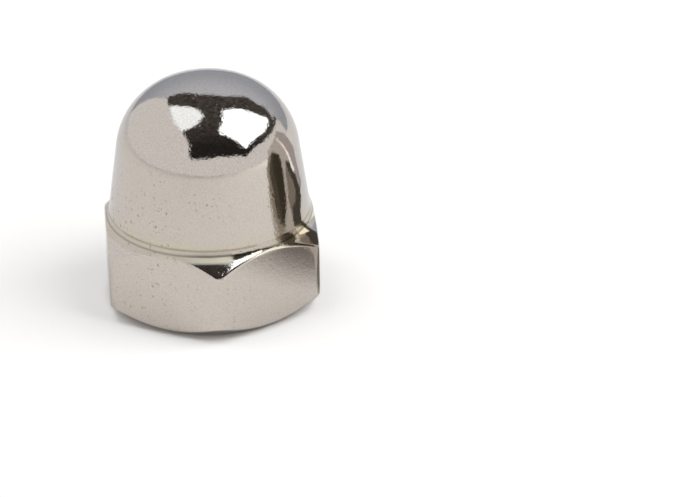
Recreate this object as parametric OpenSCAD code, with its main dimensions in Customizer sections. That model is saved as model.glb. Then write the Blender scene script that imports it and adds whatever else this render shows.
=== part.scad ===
// Cap nut: a hexagon nut closed by a tall dome, with one blind threaded hole.
// It stands on its bearing face, with the dome up and two flats facing +X and -X.
// The hole is drawn at the thread's minor diameter, with no thread ridges.

/* [Hexagon] */
// Width across the flats, which is the spanner size
across_flats = 18; // [17:0.5:24]
// Height of the hexagon, from the bearing face to the foot of the dome
hex_h = 7.7; // [6.5:0.1:11]
// Radius on the six upright corners
corner_r = 0.85; // [0.2:0.05:1.5]
// How far the round bearing face stops short of each flat
bearing_inset = 0.6; // [0.1:0.1:1.5]
// Slope of the lower chamfer, in degrees from the bearing face
lower_chamfer = 38; // [15:1:45]
// Slope of the upper chamfer, in degrees from level
upper_chamfer = 43; // [15:1:50]

/* [Dome] */
// Height of the whole nut, from the bearing face to the top of the dome
total_h = 20.1; // [17:0.1:30]
// How far the dome's foot stands in from each flat
dome_inset = 0.25; // [0.1:0.05:1.5]
// Radius of the flatter round on top
top_r = 9.8; // [8.5:0.1:14]
// Width of the flatter round on top
top_w = 7.8; // [4:0.1:10]
// Radius of the shoulder, which rounds the top over into the straight side
shoulder_r = 6.6; // [4:0.1:7.5]
// Radius of the fillet round the dome's foot
foot_fillet = 1.8; // [0.4:0.1:2.4]

/* [Hole] */
// Nominal diameter of the thread
thread_d = 12; // [9:0.5:14.5]
// Pitch of the thread
thread_pitch = 1.75; // [1:0.05:2.2]
// How much wider than the thread the countersunk mouth is
mouth_extra = 0.5; // [0.1:0.1:1]
// Angle of the countersink, from side to side
countersink_angle = 90; // [60:5:120]
// Metal left on the axis between the end of the hole and the top of the dome
crown = 2; // [1.5:0.1:6]
// Width of the bevel round the corner of the hole's end
end_bevel = 1; // [0.4:0.1:2]
// Slope of the hole's dished end, in degrees from level
end_slope = 15; // [5:1:30]
// Diameter of the flat spot in the middle of the hole's end
end_flat_d = 2.4; // [0.6:0.2:4]

/* [Hidden] */
$fn = 96;

// Steel grey with a little warmth, as a bright nickel-like finish has
STEEL = [0.76, 0.745, 0.72];
// Share of the pitch by which an ISO metric thread's two diameters differ
THREAD_DEPTH = 1.0825;
// How far cutting shapes run past the face that they cut
OVERCUT = 1;
// How far an arc bites past the lines that it joins, so that it crosses them cleanly
HAIR = 0.002;

// The hexagon's vertices, and the centres of their roundings
vertex_r = across_flats / 2 / cos(30);
rounding_x = (across_flats / 2 - corner_r) / cos(30);

// The turned blank
blank_r = vertex_r + OVERCUT;
bearing_r = across_flats / 2 - bearing_inset;
foot_r = across_flats / 2 - dome_inset;
lower_edge_z = (blank_r - bearing_r) * tan(lower_chamfer);
upper_edge_z = hex_h - (blank_r - foot_r) * tan(upper_chamfer);

// The dome's two arcs: the shoulder's centre stands on the line where the top arc ends
top_z = total_h - top_r;
top_end = acos(top_w / 2 / top_r);
shoulder_x = (top_r - shoulder_r) * cos(top_end);
shoulder_z = top_z + (top_r - shoulder_r) * sin(top_end);

// The dome's straight side, which runs up from the foot and touches the shoulder.
// It leans inward from upright by side_lean.
foot_away = norm([foot_r - shoulder_x, shoulder_z - hex_h]);
side_lean = acos(shoulder_r / foot_away) - atan2(shoulder_z - hex_h, foot_r - shoulder_x);
side_top_r = shoulder_x + shoulder_r * cos(side_lean);
side_top_z = shoulder_z + shoulder_r * sin(side_lean);

// The foot's fillet, which touches the dome's side and the upper chamfer
fillet_spread = (90 - upper_chamfer - side_lean) / 2;
fillet_turn = side_lean + fillet_spread;
fillet_reach = foot_fillet / cos(fillet_spread);

// The hole
minor_r = (thread_d - THREAD_DEPTH * thread_pitch) / 2;
mouth_r = (thread_d + mouth_extra) / 2;
countersink_h = (mouth_r - minor_r) / tan(countersink_angle / 2);
end_z = total_h - crown;
dish_r = minor_r - end_bevel;
dish_z = end_z - (dish_r - end_flat_d / 2) * tan(end_slope);
wall_top_z = dish_z - end_bevel;

// What the rounding takes off a corner that points along +X
module corner_waste() {
    translate([rounding_x, 0])
        difference() {
            polygon([
                [0, 0],
                2 * corner_r * [cos(30), -sin(30)],
                [4 * corner_r, 0],
                2 * corner_r * [cos(30), sin(30)]
            ]);
            translate([HAIR, 0])
                circle(r = corner_r);
        }
}

// Outline of the hexagon with its rounded corners
module hexagon_outline() {
    difference() {
        rotate(30)
            circle(r = vertex_r, $fn = 6);
        for (k = [0:5])
            rotate(30 + 60 * k)
                corner_waste();
    }
}

// Half section of the blank before the flats are cut: both chamfers, the side and the two arcs
module blank_section() {
    polygon([
        [0, 0],
        [bearing_r, 0],
        [blank_r, lower_edge_z],
        [blank_r, upper_edge_z],
        [foot_r, hex_h],
        [side_top_r, side_top_z],
        [0, side_top_z]
    ]);
    intersection() {
        translate([shoulder_x, shoulder_z])
            circle(r = shoulder_r + HAIR);
        square([blank_r, total_h + OVERCUT]);
    }
    translate([0, top_z])
        intersection() {
            circle(r = top_r);
            polygon([
                [0, 0],
                2 * top_r * [cos(top_end), sin(top_end)],
                [0, 2 * top_r]
            ]);
        }
}

// Half section of the fillet, laid in the corner between the dome's side and the upper chamfer
module fillet_section() {
    translate([foot_r, hex_h])
        rotate(fillet_turn)
            translate([fillet_reach, 0])
                difference() {
                    polygon([
                        [0, 0],
                        foot_fillet * [-cos(fillet_spread), sin(fillet_spread)],
                        [-2 * fillet_reach, 0],
                        foot_fillet * [-cos(fillet_spread), -sin(fillet_spread)]
                    ]);
                    translate([-HAIR, 0])
                        circle(r = foot_fillet);
                }
}

// The blank turned about its axis, with the flats cut
module blank() {
    intersection() {
        rotate_extrude() {
            blank_section();
            fillet_section();
        }
        translate([0, 0, -OVERCUT])
            linear_extrude(total_h + 2 * OVERCUT)
                hexagon_outline();
    }
}

// Countersunk mouth, drilled wall and dished end
module hole() {
    rotate_extrude()
        polygon([
            [0, -OVERCUT],
            [mouth_r, -OVERCUT],
            [mouth_r, 0],
            [minor_r, countersink_h],
            [minor_r, wall_top_z],
            [dish_r, dish_z],
            [end_flat_d / 2, end_z],
            [0, end_z]
        ]);
}

module cap_nut() {
    color(STEEL)
        difference() {
            blank();
            hole();
        }
}

cap_nut();
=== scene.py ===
from math import acos, atan2, cos, hypot, pi, radians, sin, sqrt, tan

import bmesh
import bpy
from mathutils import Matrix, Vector


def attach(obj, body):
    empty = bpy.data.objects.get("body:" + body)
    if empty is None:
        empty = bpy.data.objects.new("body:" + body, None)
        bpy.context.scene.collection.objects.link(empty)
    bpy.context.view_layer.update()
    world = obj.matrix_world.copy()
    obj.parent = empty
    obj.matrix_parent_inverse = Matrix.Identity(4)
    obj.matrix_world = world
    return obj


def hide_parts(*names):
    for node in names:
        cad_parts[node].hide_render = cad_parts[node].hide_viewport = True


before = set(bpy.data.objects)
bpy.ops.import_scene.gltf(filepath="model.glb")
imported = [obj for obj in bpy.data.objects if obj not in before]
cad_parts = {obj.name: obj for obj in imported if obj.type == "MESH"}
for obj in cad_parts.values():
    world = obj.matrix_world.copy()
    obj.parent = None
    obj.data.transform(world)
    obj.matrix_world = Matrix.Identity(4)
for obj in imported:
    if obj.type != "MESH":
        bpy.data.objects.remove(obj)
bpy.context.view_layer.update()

scene = bpy.context.scene

# ---------------------------------------------------------------------------
# Camera: a long lens close over the table, looking down on the nut at about 28
# degrees. The nut stands left of the middle of the view.
# ---------------------------------------------------------------------------
camera_place = (-0.01196, -0.20794, 0.11323)
line_of_sight = Vector((0.10204, 0.87907, -0.46565))
camera_roll = radians(-0.204)

camera_data = bpy.data.cameras.new("studio_camera")
camera_data.lens = 138.9
camera_data.sensor_width = 36
camera_data.clip_start = 0.01
camera = bpy.data.objects.new("studio_camera", camera_data)
scene.collection.objects.link(camera)
camera.location = camera_place
camera.rotation_euler = line_of_sight.to_track_quat("-Z", "Y").to_euler()
camera.rotation_euler.rotate_axis("Z", camera_roll)
scene.camera = camera
scene.view_settings.view_transform = "Standard"

# ---------------------------------------------------------------------------
# Floor and room: a wide sheet of matt white card in a white room. The eye and
# the polished metal see both as white, and the sheet still takes the shadows.
# ---------------------------------------------------------------------------
floor_half_width = 2.5
floor_white = 0.86

# How far the card is lifted to white where it is seen: a little near the nut and
# more far off, with some added for the eye. Close round the nut's foot it is not lifted
# at all, which paints a contact shadow there
floor_lift = 0.06
far_floor_lift = 0.42
floor_lift_grows = (0.25, 1.1)
eye_lift = 0.12
contact_shade = (0.0086, 0.0098)

# How bright the room is as a light, in the metal and to the eye
room_light_strength = 0.55
room_mirrored_strength = 0.90
room_seen_strength = 1.0


def deselect_all():
    bpy.ops.object.select_all(action="DESELECT")


def shader_node(tree, kind, sockets, **settings):
    """A node with its settings, whose sockets are given values or other nodes' outputs."""
    made = tree.nodes.new(kind)
    for setting, value in settings.items():
        setattr(made, setting, value)
    for socket, value in sockets.items():
        if isinstance(value, bpy.types.NodeSocket):
            tree.links.new(value, made.inputs[socket])
        else:
            made.inputs[socket].default_value = value
    return made


deselect_all()
bpy.ops.mesh.primitive_plane_add(size=2 * floor_half_width, location=(0, 0, 0))
floor = bpy.context.object
floor.name = "floor"

card_white = bpy.data.materials.new("matt_white_card")
card_white.use_nodes = True
tree = card_white.node_tree
tree.nodes.clear()
path = shader_node(tree, "ShaderNodeLightPath", {}).outputs
eye_or_mirror = shader_node(tree, "ShaderNodeMath", {
    0: path["Is Camera Ray"], 1: path["Is Glossy Ray"]}, operation="MAXIMUM")
any_clear_view = shader_node(tree, "ShaderNodeMath", {
    0: eye_or_mirror.outputs[0], 1: path["Is Transmission Ray"]}, operation="MAXIMUM")
floor_place = shader_node(tree, "ShaderNodeTexCoord", {}).outputs["Object"]
floor_reach = shader_node(tree, "ShaderNodeVectorMath", {
    0: floor_place}, operation="LENGTH").outputs["Value"]
lift_here = shader_node(tree, "ShaderNodeMapRange", {
    "Value": floor_reach, "From Min": floor_lift_grows[0], "From Max": floor_lift_grows[1],
    "To Min": floor_lift, "To Max": far_floor_lift}, interpolation_type="SMOOTHSTEP")
seen_lift = shader_node(tree, "ShaderNodeMath", {
    0: any_clear_view.outputs[0], 1: lift_here.outputs["Result"]}, operation="MULTIPLY")
for_the_eye = shader_node(tree, "ShaderNodeMath", {
    0: path["Is Camera Ray"], 1: eye_lift}, operation="MULTIPLY")
whole_lift = shader_node(tree, "ShaderNodeMath", {
    0: seen_lift.outputs[0], 1: for_the_eye.outputs[0]}, operation="ADD")
# Painted contact shadow: the lift fades out close round the nut's foot
clear_of_nut = shader_node(tree, "ShaderNodeMapRange", {
    "Value": floor_reach, "From Min": contact_shade[0], "From Max": contact_shade[1],
}, interpolation_type="SMOOTHSTEP")
lift_strength = shader_node(tree, "ShaderNodeMath", {
    0: whole_lift.outputs[0], 1: clear_of_nut.outputs["Result"]}, operation="MULTIPLY")
matt = shader_node(tree, "ShaderNodeBsdfDiffuse", {"Color": (floor_white, floor_white, floor_white, 1)})
lift = shader_node(tree, "ShaderNodeEmission", {
    "Color": (1, 1, 1, 1), "Strength": lift_strength.outputs[0]})
both = shader_node(tree, "ShaderNodeAddShader", {0: matt.outputs[0], 1: lift.outputs[0]})
shader_node(tree, "ShaderNodeOutputMaterial", {"Surface": both.outputs[0]})
floor.data.materials.append(card_white)

world = bpy.data.worlds.new("white_room")
scene.world = world
world.use_nodes = True
tree = world.node_tree
tree.nodes.clear()
path = shader_node(tree, "ShaderNodeLightPath", {}).outputs
room_light = shader_node(tree, "ShaderNodeBackground", {
    "Color": (1.0, 1.0, 0.99, 1), "Strength": room_light_strength})
room_mirrored = shader_node(tree, "ShaderNodeBackground", {
    "Color": (1, 1, 1, 1), "Strength": room_mirrored_strength})
room_seen = shader_node(tree, "ShaderNodeBackground", {
    "Color": (1, 1, 1, 1), "Strength": room_seen_strength})
light_or_mirror = shader_node(tree, "ShaderNodeMixShader", {
    "Fac": path["Is Glossy Ray"], 1: room_light.outputs[0], 2: room_mirrored.outputs[0]})
room_mix = shader_node(tree, "ShaderNodeMixShader", {
    "Fac": path["Is Camera Ray"], 1: light_or_mirror.outputs[0], 2: room_seen.outputs[0]})
shader_node(tree, "ShaderNodeOutputWorld", {"Surface": room_mix.outputs[0]})

# ---------------------------------------------------------------------------
# Studio: a charcoal ceiling with two cloth windows and a lamp, a grey wall behind,
# and at the right, where a second nut could lie, glowing flags with its light and shade
# painted in, two discs of painted shadow on the floor and a glowing cream sheet that
# paints a highlight. The polished metal sees all but the lamps, and the camera sees none of them.
# ---------------------------------------------------------------------------
ceiling_height = 0.40
window_drop = 0.002


def panel_material(name, colour, strength):
    """An even glow of one colour."""
    material = bpy.data.materials.new(name)
    material.use_nodes = True
    tree = material.node_tree
    tree.nodes.clear()
    glow = shader_node(tree, "ShaderNodeEmission", {"Color": (*colour, 1), "Strength": strength})
    shader_node(tree, "ShaderNodeOutputMaterial", {"Surface": glow.outputs[0]})
    return material


def panel(name, corners, material, lights_floor=True, mirrored=True):
    """A sheet hidden from the camera, and at will from the white card or from the metal."""
    mesh = bpy.data.meshes.new(name)
    mesh.from_pydata(corners, [], [tuple(range(len(corners)))])
    sheet = bpy.data.objects.new(name, mesh)
    scene.collection.objects.link(sheet)
    mesh.materials.append(material)
    sheet.visible_camera = False
    if not lights_floor:
        sheet.visible_diffuse = False
        sheet.visible_shadow = False
    sheet.visible_glossy = mirrored
    return sheet


def round_outline(half_width, half_height):
    """24 corners round an oval."""
    steps = [radians(15 * k) for k in range(24)]
    return [(half_width * cos(a), half_height * sin(a)) for a in steps]


def overhead(outline, drop=0.0):
    """Corners on the ceiling or just under it, from their slopes as seen from the nut."""
    height = ceiling_height - drop
    return [(x * height, y * height, height) for x, y in outline]


charcoal = panel_material("charcoal_felt", (0.030, 0.027, 0.025), 1.0)
left_cloth = panel_material("left_window_cloth", (0.92, 1.0, 1.07), 1.52)
left_light = panel_material("left_window_light", (1.0, 0.99, 0.975), 3.8)
right_cloth = panel_material("right_window_cloth", (0.94, 1.0, 1.06), 2.4)
right_light = panel_material("right_window_light", (1.0, 0.99, 0.975), 3.4)
front_light = panel_material("front_light", (1.0, 0.995, 0.985), 2.6)


def graded(material, axis, start, end, low, high):
    """Fades a panel's strength from low to high between two places along an axis."""
    tree = material.node_tree
    place = shader_node(tree, "ShaderNodeTexCoord", {}).outputs["Object"]
    axes = shader_node(tree, "ShaderNodeSeparateXYZ", {"Vector": place})
    strength = shader_node(tree, "ShaderNodeMapRange", {
        "Value": axes.outputs[axis], "From Min": start, "From Max": end, "To Min": low, "To Max": high,
    }, interpolation_type="SMOOTHSTEP")
    tree.links.new(strength.outputs["Result"], tree.nodes["Emission"].inputs["Strength"])


wall_grey = panel_material("grey_wall", (0.99, 1.05, 1.17), 0.62)
graded(wall_grey, "Z", start=0.0, end=0.55, low=0.45, high=0.68)


def mottled(material, scale, low, high):
    """Breaks up a panel's strength with an uneven cloudy pattern, brighter to the back."""
    thin_cloud, thick_cloud = 0.38, 0.66
    front, back = -0.45, 0.0
    front_share = 0.3
    tree = material.node_tree
    place = shader_node(tree, "ShaderNodeTexCoord", {}).outputs["Object"]
    axes = shader_node(tree, "ShaderNodeSeparateXYZ", {"Vector": place})
    clouds = shader_node(tree, "ShaderNodeTexNoise", {"Vector": place, "Scale": scale, "Detail": 3.0})
    spread = shader_node(tree, "ShaderNodeMapRange", {
        "Value": clouds.outputs["Fac"], "From Min": thin_cloud, "From Max": thick_cloud,
        "To Min": low, "To Max": high})
    to_back = shader_node(tree, "ShaderNodeMapRange", {
        "Value": axes.outputs["Y"], "From Min": front, "From Max": back,
        "To Min": front_share, "To Max": 1.0}, interpolation_type="SMOOTHSTEP")
    strength = shader_node(tree, "ShaderNodeMath", {
        0: spread.outputs["Result"], 1: to_back.outputs["Result"]}, operation="MULTIPLY")
    tree.links.new(strength.outputs[0], tree.nodes["Emission"].inputs["Strength"])


mottled(charcoal, scale=45.0, low=0.5, high=5.5)
panel("ceiling_panel", overhead([
    (-0.54, 1.06), (-0.34, 0.96), (-0.05, 0.66), (0.29, 0.61), (0.64, 0.89), (1.04, 0.86),
    (1.29, 1.02), (2.31, 2.04), (4.80, 4.50), (3.00, 1.76), (2.87, 0.63), (2.39, -0.54),
    (2.08, -1.15), (2.25, -2.14), (1.44, -2.02), (0.44, -2.01), (-0.24, -2.18), (-0.90, -2.21),
    (-1.00, -1.92), (-0.62, -0.99), (-0.55, -0.59), (-0.56, 0.26),
]), charcoal)
left_window = overhead([
    (-0.54, 0.57), (-0.44, 0.49), (-0.30, 0.40), (-0.18, 0.31), (-0.09, 0.17), (-0.05, -0.01),
    (-0.10, -0.09), (-0.18, -0.22), (-0.27, -0.27), (-0.45, -0.33), (-0.56, -0.35), (-0.60, -0.11),
    (-0.60, 0.18),
], window_drop)
right_window = overhead([
    (0.25, 0.18), (0.50, 0.28), (0.63, 0.32), (0.81, 0.31), (1.22, 0.42), (1.61, 0.66),
    (1.88, 0.68), (1.90, 0.39), (1.80, -0.12), (1.61, -0.41), (1.50, -0.90), (1.48, -1.19),
    (1.09, -1.03), (0.82, -0.84), (0.51, -0.67), (0.25, -0.54), (0.22, -0.41), (0.26, -0.18),
], window_drop)
panel("left_window", left_window, left_cloth, lights_floor=False)
panel("left_window_lamp", left_window, left_light, mirrored=False)
panel("right_window", right_window, right_cloth, lights_floor=False)
panel("right_window_lamp", right_window, right_light, mirrored=False)
panel("back_wall", [
    (-0.25, 0.45, 0.0), (0.72, 0.45, 0.0), (0.72, 0.45, 0.30), (1.15, 0.45, 0.50), (1.15, 0.45, 0.9),
    (-0.25, 0.45, 0.9),
], wall_grey, lights_floor=False)
panel("front_lamp", [
    (-0.20, -0.50, 0.45), (-0.20, -0.05, 0.45), (0.40, -0.05, 0.45), (0.40, -0.50, 0.45),
], front_light, mirrored=False)

# The flags stand in one leaning plane close to the nut's right side. Together they
# are the open end of a second nut, as glowing sheets with its light and shade painted in:
# a lit face and side, the hole and one corner in painted shade, and a painted highlight on an edge.
MM = 0.001
flag_middle = Vector((0.0179, -0.0080, 0.0096))
flag_across = Vector((-0.797, 0.604, 0.0))
flag_up = Vector((0.109, 0.144, 0.984))
flag_away = flag_across.cross(flag_up)


def flag(name, corners, colour, forward=0.0):
    """A small panel on the leaning plane, from corners in millimetres across and up."""
    spots = [
        flag_middle + (flag_across * across + flag_up * up - flag_away * forward) * MM
        for across, up in corners
    ]
    return panel(name, spots, panel_material(name, colour, 1.0), lights_floor=False)


flag("flag_face", [
    (-10.3, 0), (-5.2, -8.9), (5.2, -8.9), (10.3, 0), (5.2, 8.9), (-5.2, 8.9),
], (0.60, 0.56, 0.52))
# The hole in painted shade, darker still to one side
flag("flag_opening", [
    (-1.0 + across, 1.1 + up) for across, up in round_outline(6.9, 5.8)
], (0.33, 0.29, 0.24), 0.05)
flag("flag_opening_shade", [
    (-4.6, 2.6), (-3.4, 4.8), (-1.4, 6.3), (1.0, 6.7), (4.2, 4.9), (5.6, 2.4), (5.9, 1.1), (5.8, 0.1),
    (5.0, -1.6), (3.6, -3.4), (0.4, -3.5), (-2.2, -2.0), (-4.0, 0.2),
], (0.095, 0.082, 0.062), 0.08)
flag("flag_opening_dark_side", [
    (-0.5, 3.8), (1.0, 6.7), (4.2, 4.9), (5.6, 2.4), (5.9, 1.1), (5.8, 0.1), (5.0, -1.6), (3.6, -3.4),
    (2.2, -3.2), (2.1, -1.4), (1.7, -0.2), (0.7, 1.2),
], (0.055, 0.046, 0.033), 0.1)
# One corner in painted shade
flag("flag_corner_shade", [
    (7.2, 2.9), (8.2, 2.6), (9.4, 1.9), (9.6, -0.3), (9.0, -1.5), (7.6, -2.6), (6.9, -1.8),
    (6.6, -0.5), (6.8, 1.2),
], (0.27, 0.24, 0.20), 0.03)
flag("flag_corner", [
    (7.4, 2.9), (8.8, 2.9), (9.9, 1.6), (10.3, 0.6), (10.3, -0.3), (9.6, -1.5), (9.3, -2.5), (7.3, -3.3),
    (7.0, -2.3), (7.6, -1.2), (8.6, -0.7), (9.2, 0.3), (8.9, 1.2), (8.2, 1.7),
], (0.08, 0.072, 0.06), 0.05)
flag("flag_side", [
    (5.2, 8.9), (10.3, 0), (11.0, 1.0), (10.7, 4.0), (9.4, 7.4), (7.6, 9.2),
], (0.50, 0.47, 0.46))
# A painted highlight along an edge of the second nut
flag("flag_painted_highlight", [(5.9, 8.1), (6.4, 8.2), (9.9, 2.1), (9.5, 1.8)], (1.4, 1.35, 1.3), 0.15)

# A glowing cream sheet by the right corner, so near that only the dome's foot sees it:
# a painted cream highlight there.
panel("corner_highlight_sheet", [
    (0.00785, -0.00510, 0.00766), (0.00865, -0.00390, 0.00740),
    (0.00865, -0.00390, 0.00780), (0.00785, -0.00510, 0.00800),
], panel_material("cream_highlight_glow", (0.95, 0.88, 0.75), 1.0), lights_floor=False)

# Two discs of painted shadow lie on the floor at the nut's right, the shade a second nut would cast
# there.
shadow_brown = (0.13, 0.11, 0.09)


def painted_shadow_disc(name, middle, inner, outer, depth, height):
    """A disc of painted shadow with a soft edge: of full depth up to its inner radius and clear at its
    outer one.
    """
    shadow_sheet = panel(name, [
        (across, along, 0) for across, along in round_outline(outer, outer)
    ], panel_material(name, shadow_brown, 1.0), lights_floor=False)
    shadow_sheet.location = (*middle, height)
    tree = shadow_sheet.active_material.node_tree
    place = shader_node(tree, "ShaderNodeTexCoord", {}).outputs["Object"]
    reach = shader_node(tree, "ShaderNodeVectorMath", {0: place}, operation="LENGTH")
    edge = shader_node(tree, "ShaderNodeMapRange", {
        "Value": reach.outputs["Value"], "From Min": inner, "From Max": outer,
        "To Min": depth, "To Max": 0.0}, interpolation_type="SMOOTHSTEP")
    clear = shader_node(tree, "ShaderNodeBsdfTransparent", {})
    mix = shader_node(tree, "ShaderNodeMixShader", {
        "Fac": edge.outputs["Result"], 1: clear.outputs[0], 2: tree.nodes["Emission"].outputs[0]})
    tree.links.new(mix.outputs[0], tree.nodes["Material Output"].inputs["Surface"])


painted_shadow_disc("shadow_before_flat", (0.0208, -0.0098), inner=0.0026, outer=0.0108, depth=0.85, height=0.0002)
painted_shadow_disc("shadow_beside_corner", (0.0148, -0.0006), inner=0.0036, outer=0.0062, depth=0.86, height=0.0003)

# ---------------------------------------------------------------------------
# Cap nut, the blank: nickel-finished steel, turned with a tall round dome and a
# chamfer at both ends of the hexagon, then milled to six flats 18 mm apart.
# Its base is drawn as a ring and pulled up step by step to the top of the dome.
# ---------------------------------------------------------------------------
half_flats = 9.0
hexagon_height = 7.7
corner_radius = 0.85
bearing_radius = 8.4
lower_chamfer = radians(38)
upper_chamfer = radians(43)
total_height = 20.1
foot_radius = 8.75
foot_fillet = 1.8
bearing_edge_radius = 0.25
lower_edge_radius = 0.35
upper_edge_radius = 0.45

# The dome's section: an arc over the top, a tighter arc at the shoulder, and a
# straight side that leans in and touches both the shoulder and the foot
top_radius = 9.8
top_half_width = 3.9
shoulder_radius = 6.6
top_centre = total_height - top_radius
top_end = acos(top_half_width / top_radius)
shoulder_x = (top_radius - shoulder_radius) * cos(top_end)
shoulder_z = top_centre + (top_radius - shoulder_radius) * sin(top_end)
foot_away = hypot(foot_radius - shoulder_x, shoulder_z - hexagon_height)
side_lean = acos(shoulder_radius / foot_away)
side_lean -= atan2(shoulder_z - hexagon_height, foot_radius - shoulder_x)
side_top = (
    shoulder_x + shoulder_radius * cos(side_lean),
    shoulder_z + shoulder_radius * sin(side_lean),
)

# The hollow fillet at the dome's foot touches the side and the upper chamfer
chamfer_normal = pi / 2 - upper_chamfer
fillet_spread = (chamfer_normal - side_lean) / 2
fillet_away = foot_fillet / cos(fillet_spread)
fillet_r = foot_radius + fillet_away * cos(side_lean + fillet_spread)
fillet_z = hexagon_height + fillet_away * sin(side_lean + fillet_spread)

# How finely the blank is drawn, around and up its section
columns = 432
rows_round = 6
rows_chamfer = 3
rows_flat = 8
rows_upper = 14
rows_side = 8
rows_shoulder = 32
rows_top = 16
tip_drop = 0.0002
same_spot = 1e-7


def hexagon_reach(angle):
    """Distance from the axis to the rounded hexagon, at an angle from +X."""
    turn = (angle + pi / 6) % (pi / 3) - pi / 6
    flat_reach = half_flats / cos(turn)
    rounding_centre = (half_flats - corner_radius) / cos(pi / 6)
    from_corner = pi / 6 - abs(turn)
    across = rounding_centre * sin(from_corner)
    if across > corner_radius * sin(pi / 6):
        return flat_reach
    round_reach = rounding_centre * cos(from_corner) + sqrt(corner_radius ** 2 - across ** 2)
    return min(flat_reach, round_reach)


def arc_between(start, corner, end, radius, steps):
    """Points on the rounding of a corner, and where it begins and ends."""
    way_in = (Vector(corner) - Vector(start)).normalized()
    way_out = (Vector(end) - Vector(corner)).normalized()
    turn = way_in.angle(way_out)
    side = 1 if way_in.cross(way_out) > 0 else -1
    first = Vector(corner) - way_in * radius * tan(turn / 2)
    inward = Vector((-way_in.y, way_in.x)) * side
    centre = first + inward * radius
    points = []
    for step in range(steps + 1):
        a = side * turn * step / steps
        spoke = -inward * radius
        points.append(centre + Vector((
            spoke.x * cos(a) - spoke.y * sin(a), spoke.x * sin(a) + spoke.y * cos(a))))
    return points


def upper_edge(reach):
    """Centre of the rounding at the top of a flat, and the angle on it where it ends."""
    radius = upper_edge_radius
    r = reach - radius
    on_chamfer = hexagon_height - (r - foot_radius) * tan(upper_chamfer)
    on_chamfer -= radius / cos(upper_chamfer)
    if r + radius * cos(chamfer_normal) > fillet_r - foot_fillet * cos(chamfer_normal):
        return (r, on_chamfer), chamfer_normal
    z = fillet_z - sqrt((foot_fillet + radius) ** 2 - (fillet_r - r) ** 2)
    return (r, z), atan2(fillet_z - z, fillet_r - r)


def column_profile(angle):
    """Section of the nut's outside at one angle, from the bearing face to near the top."""
    reach = hexagon_reach(angle)
    lower_z = (reach - bearing_radius) * tan(lower_chamfer)
    corners = [(0, 0), (bearing_radius, 0), (reach, lower_z), (reach, hexagon_height)]
    bearing_edge = arc_between(*corners[:3], bearing_edge_radius, rows_round)
    lower_edge = arc_between(*corners[1:], lower_edge_radius, rows_round)
    (edge_r, edge_z), edge_end = upper_edge(reach)
    edge_start = Vector((reach, edge_z))
    points = bearing_edge
    points += [bearing_edge[-1].lerp(lower_edge[0], k / rows_chamfer) for k in range(1, rows_chamfer)]
    points += lower_edge
    points += [lower_edge[-1].lerp(edge_start, k / rows_flat) for k in range(1, rows_flat)]
    for k in range(rows_round + 1):
        a = edge_end * k / rows_round
        points.append(Vector((
            edge_r + upper_edge_radius * cos(a), edge_z + upper_edge_radius * sin(a))))

    # Up the chamfer, if any of it is left, and round the fillet in even steps
    chamfer_top = Vector((
        fillet_r - foot_fillet * cos(chamfer_normal), fillet_z - foot_fillet * sin(chamfer_normal)))
    straight = (chamfer_top - points[-1]).length if edge_end == chamfer_normal else 0
    curved = foot_fillet * (edge_end - side_lean)
    start = points[-1]
    for k in range(1, rows_upper + 1):
        along = (straight + curved) * k / rows_upper
        if along < straight:
            points.append(start.lerp(chamfer_top, along / straight))
        else:
            a = edge_end - (along - straight) / foot_fillet
            points.append(Vector((fillet_r - foot_fillet * cos(a), fillet_z - foot_fillet * sin(a))))
    points += [points[-1].lerp(Vector(side_top), k / rows_side) for k in range(1, rows_side)]
    for k in range(rows_shoulder):
        a = side_lean + (top_end - side_lean) * k / rows_shoulder
        points.append(Vector((
            shoulder_x + shoulder_radius * cos(a), shoulder_z + shoulder_radius * sin(a))))
    for k in range(rows_top):
        a = top_end + (pi / 2 - top_end) * k / rows_top
        points.append(Vector((top_radius * cos(a), top_centre + top_radius * sin(a))))
    return points


deselect_all()
profiles = {}
bpy.ops.mesh.primitive_circle_add(
    vertices=columns, radius=bearing_radius * MM, fill_type="NGON", location=(0, 0, 0))
cap_nut = bpy.context.object
cap_nut.name = "cap_nut_body"
bpy.ops.object.mode_set(mode="EDIT")
bpy.ops.mesh.select_all(action="SELECT")


def place_ring(row):
    """Moves the selected ring to its row of the section, column by column."""
    edit = bmesh.from_edit_mesh(cap_nut.data)
    for vertex in [v for v in edit.verts if v.select]:
        angle = atan2(vertex.co.y, vertex.co.x)
        column = round(angle / (2 * pi) * columns) % columns
        if column not in profiles:
            profiles[column] = column_profile(2 * pi * column / columns)
        r, z = profiles[column][row]
        around = 2 * pi * column / columns
        vertex.co = Vector((r * cos(around), r * sin(around), z)) * MM
    bmesh.update_edit_mesh(cap_nut.data)


place_ring(0)
for row in range(1, len(profiles[0])):
    bpy.ops.mesh.extrude_region_move()
    place_ring(row)
bpy.ops.mesh.extrude_region_move()
edit = bmesh.from_edit_mesh(cap_nut.data)
for vertex in [v for v in edit.verts if v.select]:
    vertex.co.z = (total_height - tip_drop) * MM
bmesh.update_edit_mesh(cap_nut.data)
bpy.ops.mesh.merge(type="CENTER")
bpy.ops.mesh.select_all(action="SELECT")
bpy.ops.mesh.remove_doubles(threshold=same_spot)
bpy.ops.mesh.normals_make_consistent(inside=False)
bpy.ops.object.mode_set(mode="OBJECT")

# ---------------------------------------------------------------------------
# Cap nut, the hole: drilled blind from the bearing face to a dished end, then
# countersunk. The drill is turned from its half section.
# ---------------------------------------------------------------------------
thread_major = 6.0
thread_pitch = 1.75
thread_depth = 1.0825 * thread_pitch / 2
thread_minor = thread_major - thread_depth
mouth_radius = 6.25
crown = 2.0
end_bevel = 1.0
end_flat_radius = 1.2
end_slope = radians(15)
hole_end = total_height - crown
dish_radius = thread_minor - end_bevel
dish_edge = hole_end - (dish_radius - end_flat_radius) * tan(end_slope)
wall_top = dish_edge - end_bevel
hole_steps = 192


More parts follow.
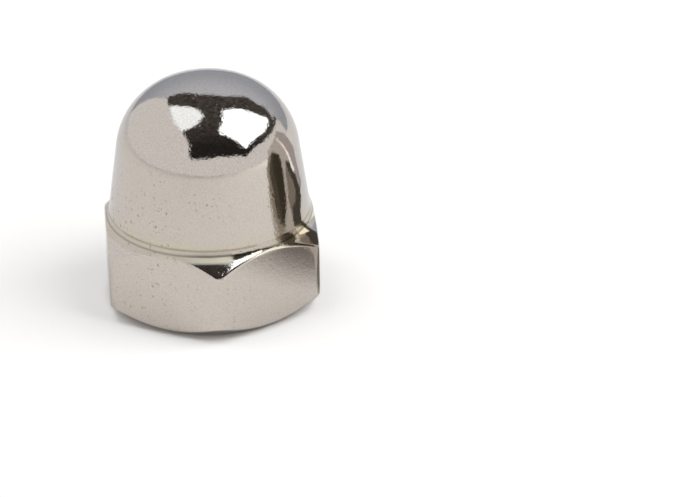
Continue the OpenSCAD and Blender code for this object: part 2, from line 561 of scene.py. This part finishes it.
def turned(name, section, steps):
    """A closed turned shape from its half section, given from the bottom up, on the axis."""
    deselect_all()
    start_r, start_z = section[0]
    bpy.ops.mesh.primitive_circle_add(
        vertices=steps, radius=start_r * MM, fill_type="NGON", location=(0, 0, start_z * MM))
    piece = bpy.context.object
    piece.name = name
    bpy.ops.object.transform_apply(location=True, rotation=True, scale=True)
    bpy.ops.object.mode_set(mode="EDIT")
    bpy.ops.mesh.select_all(action="SELECT")
    at = section[0]
    for r, z in section[1:]:
        bpy.ops.mesh.extrude_region_move(TRANSFORM_OT_translate={"value": (0, 0, (z - at[1]) * MM)})
        bpy.ops.transform.resize(value=(r / at[0], r / at[0], 1), center_override=(0, 0, z * MM))
        at = (r, z)
    bpy.ops.mesh.select_all(action="SELECT")
    bpy.ops.mesh.normals_make_consistent(inside=False)
    bpy.ops.object.mode_set(mode="OBJECT")
    return piece


# The drill's section from the mouth up, with a small break at each edge
drill = turned("drill", [
    (mouth_radius + 1.2, -1.0),
    (mouth_radius + 0.10, -0.02),
    (mouth_radius + 0.02, 0.04),
    (thread_minor + 0.06, mouth_radius - thread_minor - 0.06),
    (thread_minor, mouth_radius - thread_minor + 0.10),
    (thread_minor, wall_top - 0.12),
    (thread_minor - 0.05, wall_top),
    (dish_radius + 0.12, dish_edge - 0.12),
    (dish_radius - 0.15, dish_edge + 0.02),
    (1.3, hole_end - 0.03),
    (1.0, hole_end),
], hole_steps)

# ---------------------------------------------------------------------------
# Cap nut, the thread: cut with a right-hand M12 tap, whose lead tapers so that
# the last turns fade out before the end of the hole.
# ---------------------------------------------------------------------------
tap_steps = 120
tap_turns = 10
tap_root = thread_minor - 0.35
tap_start = -2.6
middle = thread_pitch / 2
half_root = thread_pitch / 8 / 2
flank_slope = tan(radians(30))
half_gap = half_root + (thread_major - thread_minor) * flank_slope
crest_break = 0.07
crest_end = 0.16
root_round = 0.05
tap_same_spot = 2e-6

# One pitch of the tap's section: the root of the tap, a flank up, the flat that
# cuts the nut's groove, and a flank down
tap_section = [
    (tap_root, 0.0),
    (tap_root, middle - half_gap - crest_end),
    (thread_minor - 0.05, middle - half_gap - 0.11),
    (thread_minor + crest_break, middle - half_gap + 0.02),
    (thread_minor + crest_end, middle - half_gap + crest_end * flank_slope),
    (thread_major - root_round, middle - half_root - 0.02),
    (thread_major, middle - half_root + root_round),
    (thread_major, middle + half_root - root_round),
    (thread_major - root_round, middle + half_root + 0.02),
    (thread_minor + crest_end, middle + half_gap - crest_end * flank_slope),
    (thread_minor + crest_break, middle + half_gap - 0.02),
    (thread_minor - 0.05, middle + half_gap + 0.11),
    (tap_root, middle + half_gap + crest_end),
    (tap_root, thread_pitch),
]

# The section is swept round and up, and each end is closed with a fan of faces
deselect_all()
mesh = bpy.data.meshes.new("tap")
mesh.from_pydata(
    [(r * MM, 0, (z + tap_start) * MM) for r, z in tap_section],
    [(k, k + 1) for k in range(len(tap_section) - 1)],
    [],
)
tap = bpy.data.objects.new("tap", mesh)
scene.collection.objects.link(tap)
tap.select_set(True)
bpy.context.view_layer.objects.active = tap
screw = tap.modifiers.new("screw", "SCREW")
screw.axis = "Z"
screw.angle = 2 * pi
screw.screw_offset = thread_pitch * MM
screw.iterations = tap_turns
screw.steps = tap_steps
screw.render_steps = tap_steps
screw.use_merge_vertices = True
screw.merge_threshold = tap_same_spot / 2
bpy.ops.object.modifier_apply(modifier="screw")
bpy.ops.object.mode_set(mode="EDIT")
bpy.ops.mesh.select_all(action="SELECT")
bpy.ops.mesh.remove_doubles(threshold=tap_same_spot)
bpy.ops.mesh.select_all(action="DESELECT")
edit = bmesh.from_edit_mesh(tap.data)
open_edges = [e for e in edit.edges if e.is_boundary]
half_way_up = (tap_start + thread_pitch * (tap_turns + 1) / 2) * MM
for low_end in (True, False):
    loop = [e for e in open_edges if (e.verts[0].co.z < half_way_up) == low_end]
    ends = [v.co.z for e in loop for v in e.verts]
    hub = edit.verts.new((0, 0, (min(ends) + max(ends)) / 2))
    for e in loop:
        edit.faces.new((e.verts[0], e.verts[1], hub))
bmesh.update_edit_mesh(tap.data)
bpy.ops.mesh.select_all(action="SELECT")
bpy.ops.mesh.normals_make_consistent(inside=False)
bpy.ops.object.mode_set(mode="OBJECT")

# What is left of the tap lies in this shape: straight up to the last turns, then a taper
lead = turned("tap_lead", [
    (thread_major + 0.5, -1.5),
    (thread_major + 0.5, 12.6),
    (tap_root - 0.1, 15.6),
    (tap_root - 0.2, 15.8),
], tap_steps)


def cut(piece, tool, operation):
    """Applies an exact Boolean with a tool that is then thrown away."""
    deselect_all()
    piece.select_set(True)
    bpy.context.view_layer.objects.active = piece
    step = piece.modifiers.new("cut", "BOOLEAN")
    step.operation = operation
    step.solver = "EXACT"
    step.object = tool
    bpy.ops.object.modifier_apply(modifier="cut")
    bpy.data.objects.remove(tool, do_unlink=True)


cut(tap, lead, "INTERSECT")
cut(cap_nut, drill, "DIFFERENCE")
cut(cap_nut, tap, "DIFFERENCE")

# The cut nut is merged along its seams and shaded smooth between its sharp edges
cut_same_spot = 1e-6
sharp_from = radians(32)
deselect_all()
cap_nut.select_set(True)
bpy.context.view_layer.objects.active = cap_nut
bpy.ops.object.mode_set(mode="EDIT")
bpy.ops.mesh.select_all(action="SELECT")
bpy.ops.mesh.remove_doubles(threshold=cut_same_spot)
bpy.ops.mesh.normals_make_consistent(inside=False)
bpy.ops.object.mode_set(mode="OBJECT")
bpy.ops.object.shade_smooth_by_angle(angle=sharp_from)
weighted = cap_nut.modifiers.new("even_shading", "WEIGHTED_NORMAL")
weighted.mode = "FACE_AREA"
weighted.weight = 50
weighted.keep_sharp = True
bpy.ops.object.modifier_apply(modifier="even_shading")

# ---------------------------------------------------------------------------
# Cap nut, the finish: bright nickel plate over steel, tumbled and a little rippled,
# with small brown pits low on the left. It is satin underneath and brownish in the
# thread, with painted shade in the thread's roots; at the dome's foot it carries painted
# shade lines, a painted cream highlight and a painted warm glow.
# ---------------------------------------------------------------------------
nickel = bpy.data.materials.new("bright_nickel")
nickel.use_nodes = True
tree = nickel.node_tree
metal = tree.nodes["Principled BSDF"]


def math_node(operation, first, second=0.0):
    """The result of one sum on two values or outputs."""
    return shader_node(tree, "ShaderNodeMath", {0: first, 1: second}, operation=operation).outputs[0]


def times(first, *others):
    """The product of two or more values or outputs."""
    for other in others:
        first = math_node("MULTIPLY", first, other)
    return first


def fade(value, start, end, low=0.0, high=1.0):
    """Low up to start, high from end on, and smooth between them."""
    return shader_node(tree, "ShaderNodeMapRange", {
        "Value": value, "From Min": start, "From Max": end, "To Min": low, "To Max": high,
    }, interpolation_type="SMOOTHSTEP").outputs["Result"]


def band(value, rises, full, still_full, gone):
    """A band with soft edges, between places given in millimetres."""
    return times(fade(value, rises * MM, full * MM), fade(value, gone * MM, still_full * MM))


def noise(scale, detail=2.0):
    """A cloudy pattern fixed to the metal."""
    return shader_node(tree, "ShaderNodeTexNoise", {
        "Vector": place, "Scale": scale, "Detail": detail}).outputs["Fac"]


def dots(scale, size):
    """Small uneven dots of about size, a share of the cell, at random places."""
    cells = shader_node(tree, "ShaderNodeTexVoronoi", {"Vector": warped, "Scale": scale})
    random_size = shader_node(tree, "ShaderNodeSeparateColor", {
        "Color": cells.outputs["Color"]}).outputs[0]
    edge = times(fade(random_size, 0.35, 1.0), size)
    return fade(math_node("SUBTRACT", cells.outputs["Distance"], edge), 0.0, -0.6 * size)


def tint(share, under, over):
    """A share of one colour laid over another, each a plain colour or a node's output."""
    first_colour, second_colour, mixed_colour = 6, 7, 2
    mixed = shader_node(tree, "ShaderNodeMix", {"Factor": share}, data_type="RGBA")
    for socket, colour in ((first_colour, under), (second_colour, over)):
        if isinstance(colour, bpy.types.NodeSocket):
            tree.links.new(colour, mixed.inputs[socket])
        else:
            mixed.inputs[socket].default_value = (*colour, 1)
    return mixed.outputs[mixed_colour]


place = shader_node(tree, "ShaderNodeTexCoord", {}).outputs["Object"]
axes = shader_node(tree, "ShaderNodeSeparateXYZ", {"Vector": place})
stir = shader_node(tree, "ShaderNodeTexNoise", {"Vector": place, "Scale": 5200, "Detail": 1.0})
nudge = shader_node(tree, "ShaderNodeVectorMath", {
    0: stir.outputs["Color"], "Scale": 0.30 * MM}, operation="SCALE")
warped = shader_node(tree, "ShaderNodeVectorMath", {
    0: place, 1: nudge.outputs[0]}, operation="ADD").outputs[0]
x, y, z = axes.outputs
axis_distance = math_node("SQRT", math_node("ADD", times(x, x), times(y, y)))

# Where on the nut: the flat underneath, and the inside of the hole, which is all
# that lies in a round-topped post well within the dome's skin
face_depth = 0.02 * MM
post_radius = 7.3 * MM
post_shoulder = 12.33 * MM
underneath = math_node("LESS_THAN", z, face_depth)
above_room = math_node("MAXIMUM", math_node("SUBTRACT", z, post_shoulder), 0.0)
room = math_node("SQRT", math_node(
    "ADD", times(axis_distance, axis_distance), times(above_room, above_room)))
in_hole = times(math_node("LESS_THAN", room, post_radius), math_node("GREATER_THAN", z, face_depth))

# The dome's foot: painted shade lines, a painted highlight band, a dull band, and a painted warm glow
# above
near_dome = math_node("LESS_THAN", axis_distance, 9.5 * MM)
by_dome = math_node("LESS_THAN", axis_distance, 9.75 * MM)
above_foot = math_node("GREATER_THAN", z, 7.8 * MM)
left_of_glint = fade(x, 1.8 * MM, 0.8 * MM)
foot_patchy = fade(noise(420, 2.0), 0.36, 0.60, 0.35, 1.0)
# Painted shade: a dark line in the crease at the dome's foot, and a patchy one just above
foot_shade_line = band(z, 7.60, 7.70, 7.74, 7.86)
high_shade_line = times(band(z, 8.02, 8.12, 8.16, 8.30), foot_patchy)
# Painted highlight: a cream band low on the dome's foot, brighter to the right
foot_painted_highlight = times(
    band(z, 7.15, 7.40, 7.60, 7.68), near_dome, fade(x, -4.5 * MM, -0.5 * MM, 0.25, 1.0))
foot_corner = times(band(z, 7.05, 7.35, 7.65, 7.85), near_dome, left_of_glint)
foot_dull = times(
    band(z, 6.75, 7.45, 8.2, 8.5), math_node("MAXIMUM", left_of_glint, 0.4), by_dome)
# Painted warm glow on the dome just above its foot
foot_painted_glow = times(fade(z, 9.6 * MM, 8.1 * MM), above_foot)

# Pits: mostly low on the left of the dome and on the flats below it
pit_patches = fade(noise(260, 1.0), 0.33, 0.55)
pit_low = fade(z, 17.0 * MM, 11.5 * MM)
pit_left = fade(x, 5.0 * MM, -3.0 * MM, 0.25, 1.0)
pit_share = times(pit_patches, pit_low, pit_left)
pits = times(math_node("MAXIMUM", dots(2100, 0.38), dots(3800, 0.42)), pit_share)
specks = times(dots(3600, 0.34), fade(noise(900, 1.0), 0.45, 0.65, 0.1, 1.0))

# Colour, from the plate's two tones to the painted light and shade at the foot, the specks, the pits,
# the hole and the face
colour = tint(noise(700, 3.0), (0.643, 0.576, 0.514), (0.610, 0.571, 0.532))
colour = tint(fade(noise(9000, 1.0), 0.35, 0.65, 0.0, 0.75), colour, (0.540, 0.491, 0.445))
# Painted light at the dome's foot: a warm glow, two shade lines and a cream highlight
colour = tint(times(foot_painted_glow, 0.35), colour, (0.58, 0.52, 0.40))
colour = tint(times(high_shade_line, 0.70), colour, (0.33, 0.28, 0.17))
colour = tint(times(foot_painted_highlight, 0.92), colour, (0.98, 0.91, 0.74))
colour = tint(times(foot_shade_line, 0.60), colour, (0.30, 0.26, 0.18))
colour = tint(times(specks, 0.16), colour, (0.33, 0.29, 0.25))
colour = tint(times(pits, 0.62), colour, (0.33, 0.24, 0.19))
# Painted shade: the thread's roots are darker from just inside the mouth
groove = times(fade(axis_distance, 5.15 * MM, 5.85 * MM), fade(z, 0.8 * MM, 1.5 * MM))
hole_colour = tint(groove, (0.50, 0.455, 0.39), (0.24, 0.20, 0.15))
hole_colour = tint(fade(noise(1500, 3.0), 0.40, 0.62, 0.0, 0.5), hole_colour, (0.36, 0.30, 0.225))
face_colour = tint(
    fade(noise(3200, 4.0), 0.36, 0.64, 0.0, 0.6), (0.60, 0.565, 0.515), (0.475, 0.44, 0.385))
face_colour = tint(times(dots(2600, 0.42), 0.8), face_colour, (0.27, 0.22, 0.165))
colour = tint(in_hole, colour, hole_colour)
colour = tint(underneath, colour, face_colour)
tree.links.new(colour, metal.inputs["Base Color"])
metal.inputs["Metallic"].default_value = 1.0
metal.inputs["Specular Tint"].default_value = (0.86, 0.885, 0.925, 1)

# Gloss: polished outside, duller at the foot, in the pits, in the hole and underneath
rough = fade(noise(1300, 3.0), 0.35, 0.75, 0.045, 0.085)
for mark, dullness in (
    (specks, 0.30), (pits, 0.34), (foot_dull, 0.30), (foot_corner, 0.62), (in_hole, 0.35),
    (underneath, 0.38),
):
    rough = math_node("MAXIMUM", rough, times(mark, dullness))
tree.links.new(rough, metal.inputs["Roughness"])

# Relief, from broad waves down to the orange peel, with the pits sunk into it
waves = shader_node(tree, "ShaderNodeBump", {"Height": noise(330, 1.0), "Distance": 0.022 * MM})
peel = shader_node(tree, "ShaderNodeBump", {
    "Height": noise(2600, 3.0), "Distance": 0.0055 * MM, "Normal": waves.outputs[0]})
grain = shader_node(tree, "ShaderNodeBump", {
    "Height": noise(4600, 2.0), "Distance": 0.0070 * MM, "Normal": peel.outputs[0]})
sunk = shader_node(tree, "ShaderNodeBump", {
    "Height": pits, "Distance": 0.010 * MM, "Normal": grain.outputs[0]}, invert=True)
tree.links.new(sunk.outputs[0], metal.inputs["Normal"])
cap_nut.data.materials.clear()
cap_nut.data.materials.append(nickel)

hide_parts("cap_nut")
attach(cap_nut, "root")
